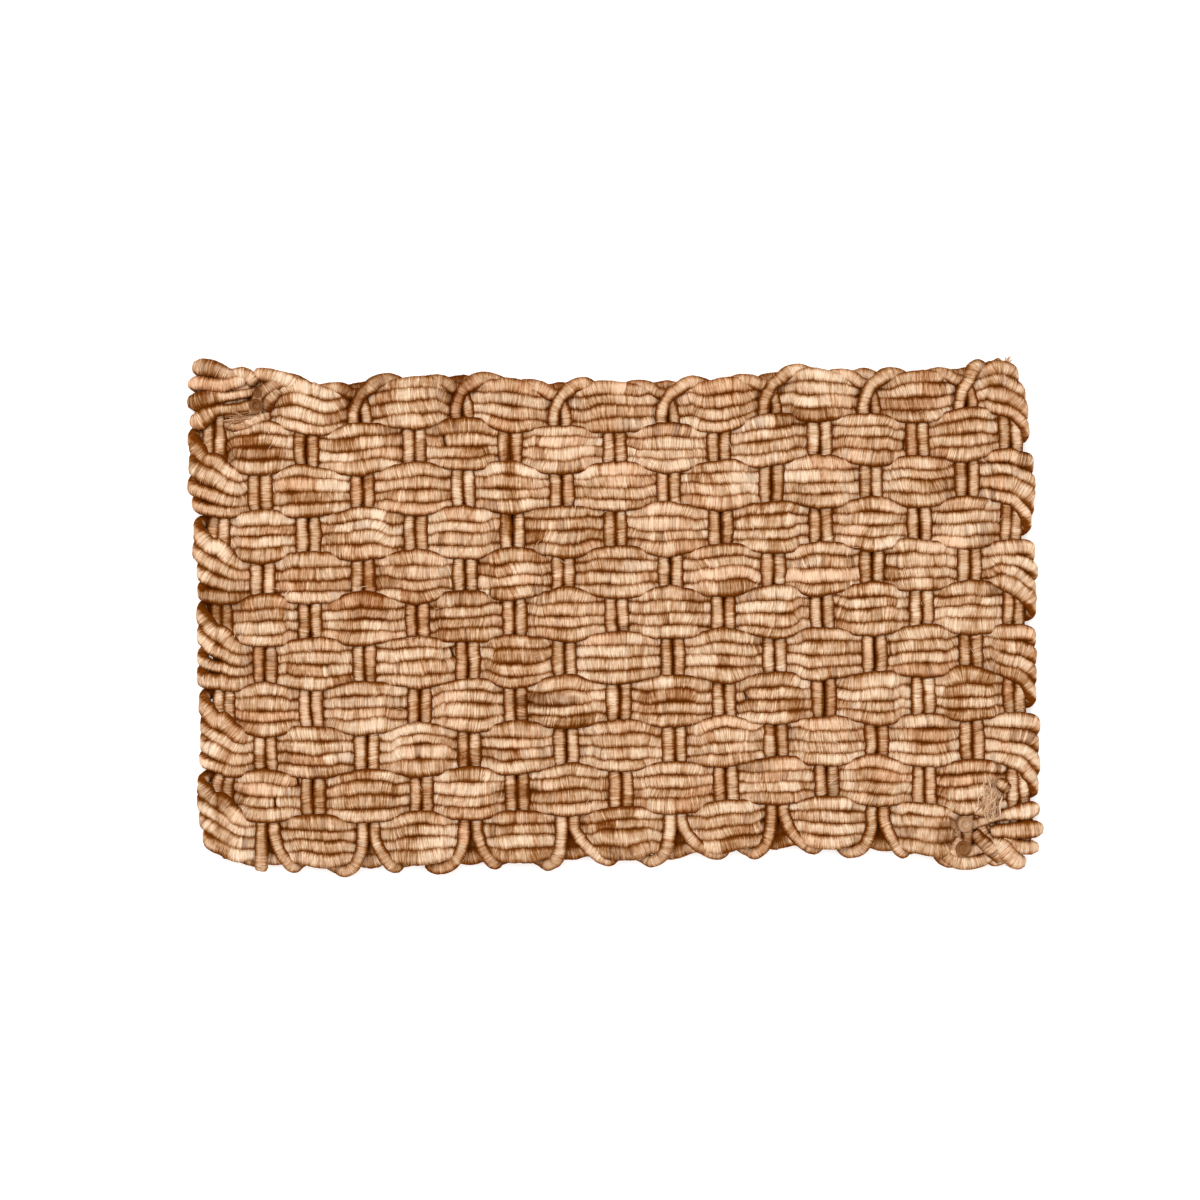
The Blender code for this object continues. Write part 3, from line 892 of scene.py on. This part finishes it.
def bent_line(random, middle, heading, length, bend, rise=0.0):
    """A fibre's line of points: it turns by bend radians on its way, and arches up by rise."""
    t = np.linspace(-0.5, 0.5, FIBRE_POINTS)
    turn = heading + bend * t + 0.15 * np.sin(random.uniform(4, 9) * t + random.uniform(0, 6))
    run = np.stack([np.cos(turn), np.sin(turn), np.zeros(FIBRE_POINTS)], axis=1) * length / FIBRE_POINTS
    line = np.cumsum(run, axis=0)
    line += middle - line.mean(axis=0)
    line[:, 2] += rise * np.cos(math.pi * t)
    return line


def tuft(key, middle, spread, count, heading, curl, thick, pale):
    """A frayed knot: fibres that lie mostly along the heading, with some that curl right round."""
    random = np.random.default_rng([SEED, 90, key])
    fibres = []
    for _ in range(count):
        centre = np.array(middle) + random.normal(0, 0.4, 3) * spread
        way = heading + random.normal(0, 0.35)
        bend = random.normal(0, curl)
        line = bent_line(random, centre, way, random.uniform(10, 22), bend, random.uniform(0, 1.5))
        line[:, 2] = np.clip(line[:, 2], 2, HALF_THICKNESS + 3)
        # painted shade: fibres that lie lower in the knot are made darker
        tone = pale + random.uniform(-0.25, 0.25) - 0.07 * (HALF_THICKNESS + 2 - line[:, 2].mean())
        fibres.append((line, random.uniform(0.5, 1.1) * thick, tone, random.choice([0, 0.1, 0.3])))
    return fibres


def stray_fibres():
    """Pale hairs that lie on the cords, one longer hair, and the frayed tip at the top right."""
    random = np.random.default_rng([SEED, 95])
    fibres = []
    for _ in range(HAIRS):
        x = random.uniform(-0.95, 0.95) * HALF_LENGTH
        y = random.uniform(-0.9, 0.9) * row_y(1)
        middle = np.array([x, y, HALF_THICKNESS - 0.6])
        heading = random.uniform(0, math.pi)
        line = bent_line(random, middle, heading, random.uniform(5, 13), random.normal(0, 1.0), 0.9)
        fibres.append((line, random.uniform(0.12, 0.24), random.uniform(0.75, 1.1), 0))
    hair = bent_line(random, np.array([-301, 169, HALF_THICKNESS + 0.5]), 1.9, 8, 0.3, 1)
    fibres.append((hair, 0.45, 1.3, 0))
    for heading, length in ((0.75, 17), (0.9, 13), (0.5, 14), (1.2, 10)):
        middle = np.array([346 + 2.5 * math.cos(heading), 213 + 4 * math.sin(heading), 4])
        fibres.append((bent_line(random, middle, heading, length, 0.8, 0.5), 0.7, 0.7, 0))
    return fibres


def short_bundle(name, points, key, core=(0.5, 0.0, 0.7, 0.3)):
    """A short length of loosely wound cord in a knot; core is the colour of its cut end, with the painted
    shade of its sunk middle as its last number.
    """
    upright = points[0][:2] == points[-1][:2]
    thick = 1.0 if upright else 0.8
    route = np.array([(x, y, z, wide, thick * wide) for x, y, z, wide in points], float)
    curve = smooth_route(route)
    winding = Winding(len(curve) * STEP, key, banded=0.1, greyness=0.05)
    obj = build_cord(name, curve, True, key, 0, len(curve), winding, core)
    finish_piece(obj, weft_fibre, None)


# Short bundles in and under the knots and beside the first left turns, as (x, y, z, half width).
# The low ones close the gaps between the cords above them.
KNOT_ENDS = (
    ((-339, 176, 4, 5), (-330, 175, 5.5, 6.5), (-318, 177, 6, 6.8), (-304, 181, 5, 5)),
    ((-327, 219, 5, 5), (-319, 216.5, 6.5, 6), (-311, 209, 6, 6)),
    (
        (-312, 218, 5.5, 5), (-303, 217, 6.5, 6), (-292, 215, 6.2, 6.4), (-281, 210, 5, 6.4),
        (-273, 202, 1, 5.6),
    ),
    ((-303, 186, 2, 5.5), (-299, 196, 5, 6), (-291, 205, 5.5, 5.5)),
    (
        (284, -209, 2, 5), (292, -215, 3.4, 6.4), (305, -219, 3.4, 6.6), (319, -217, 3, 5.6),
        (328, -212, 2, 5),
    ),
    ((299, -196, 4, 5.4), (295, -205, 4, 5.6), (291, -213, 3, 5.4)),
    ((312, -190, 5, 5), (319, -200, 6.4, 6.4), (327, -209, 6, 6.6), (336, -217, 3.5, 5.6)),
    ((333, -150, 5.5, 5), (338, -153, 6.5, 6), (343, -158, 5.5, 5)),
    ((312, -171, 5, 5), (319, -174, 6.8, 5.6), (328, -176, 5.5, 5)),
    ((306, -166, 2, 5), (316, -168, 3, 6), (330, -168, 2, 6)),
    ((318, -184, 0, 7), (325, -200, 0, 7.5), (330, -212, 0, 6.5)),
    ((296, -180, -2, 7), (298, -196, -2, 8), (302, -212, -2, 7)),
    ((330, -184, -4, 6), (346, -186, -4, 6.5), (356, -186, -4, 5)),
    ((-330, 205, -3, 6), (-316, 205, -3, 7), (-300, 203, -3, 7)),
    ((-342, 195, -4, 6), (-326, 195, -4, 6.5), (-310, 195, -4, 6)),
    ((-361, 170, -3, 4.5), (-358, 162, -3, 5), (-353, 154, -3, 4.5)),
    ((-360, 117, -3, 4.5), (-358, 108, -3, 5), (-354, 100, -3, 4.5)),
)

# Cut ends that face up: x, y, the height of the end, its half width, tone and greyness.
CUT_ENDS = (
    (-309.5, 201, 11.2, 4.8, 0.30, 1.0),
    (-311, 190, 11.5, 6.8, 0.24, 1.0),
    (303.2, -183.8, 11.5, 8.0, 0.62, 0.5),
    (301.5, -205.5, 10, 7.2, 0.34, 0.8),
)

for n, points in enumerate(KNOT_ENDS):
    short_bundle(f"knot_end_{n + 1}", points, 101 + n)
for n, (x, y, top, wide, tone, grey) in enumerate(CUT_ENDS):
    points = [(x, y, -2, wide), (x, y, 0.5 * top, wide), (x, y, top, 0.94 * wide)]
    short_bundle(f"cut_end_{n + 1}", points, 121 + n, (tone, 0.0, grey, 0.1))
fibres = tuft(1, (-322, 178, 8.5), (12, 5, 2), 130, heading=0.15, curl=0.5, thick=0.8, pale=0.55)
fibre_piece("frayed_knot_top_left", fibres, "end_knot_top_left")
fibres = tuft(2, (325, -168, 9.5), (8, 13, 2), 120, heading=1.4, curl=1.1, thick=1.0, pale=0.78)
fibre_piece("frayed_knot_bottom_right", fibres, "end_knot_bottom_right")
fibre_piece("stray_fibres", stray_fibres())

# ---- floor, light and camera, in metres ----

FLOOR_REACH = 20
FLOOR_GAP = 0.0005  # under the mat
VIEW_WIDTH = 1.056  # of the floor across the picture
VIEW_CENTRE = (-0.0129, 0.0144)
VIEW_TURN = 1.15  # degrees


def add_stage():
    floor_mesh = bpy.data.meshes.new("floor")
    reach = FLOOR_REACH
    corners = [(-reach, -reach, 0), (reach, -reach, 0), (reach, reach, 0), (-reach, reach, 0)]
    floor_mesh.from_pydata(corners, [], [(0, 1, 2, 3)])
    floor = bpy.data.objects.new("floor", floor_mesh)
    bpy.context.scene.collection.objects.link(floor)
    floor.location.z = -FLOOR_GAP
    material = bpy.data.materials.new("floor")
    material.use_nodes = True
    shader = material.node_tree.nodes["Principled BSDF"]
    shader.inputs["Base Color"].default_value = (0.92, 0.92, 0.92, 1)
    shader.inputs["Roughness"].default_value = 0.9
    shader.inputs["Emission Color"].default_value = (1, 1, 1, 1)
    shader.inputs["Emission Strength"].default_value = 0.36
    floor_mesh.materials.append(material)

    world = bpy.data.worlds.new("studio")
    bpy.context.scene.world = world
    world.use_nodes = True
    background = world.node_tree.nodes["Background"]
    background.inputs["Color"].default_value = (1.0, 0.99, 0.97, 1)
    background.inputs["Strength"].default_value = 0.75

    for name, place, energy, size in (
        ("key", (-0.7, 1.1, 2.4), 34, 1.6),
        ("fill", (1.2, -0.8, 2.2), 14, 2.0),
    ):
        light = bpy.data.lights.new(name, "AREA")
        light.energy, light.size = energy, size
        lamp = bpy.data.objects.new(name, light)
        lamp.location = place
        direction = -lamp.location
        lamp.rotation_euler = direction.to_track_quat("-Z", "Y").to_euler()
        bpy.context.scene.collection.objects.link(lamp)


def add_camera():
    """Straight above the mat, and turned a little against its long side."""
    data = bpy.data.cameras.new("camera")
    data.lens, data.sensor_width = 85, 36
    camera = bpy.data.objects.new("camera", data)
    height = VIEW_WIDTH * data.lens / data.sensor_width + HALF_THICKNESS / 1000
    camera.location = (*VIEW_CENTRE, height)
    camera.rotation_euler = (0, 0, -math.radians(VIEW_TURN))
    bpy.context.scene.collection.objects.link(camera)
    bpy.context.scene.camera = camera


add_stage()
add_camera()
bpy.context.scene.view_settings.view_transform = "Standard"
bpy.context.scene.view_settings.look = "None"
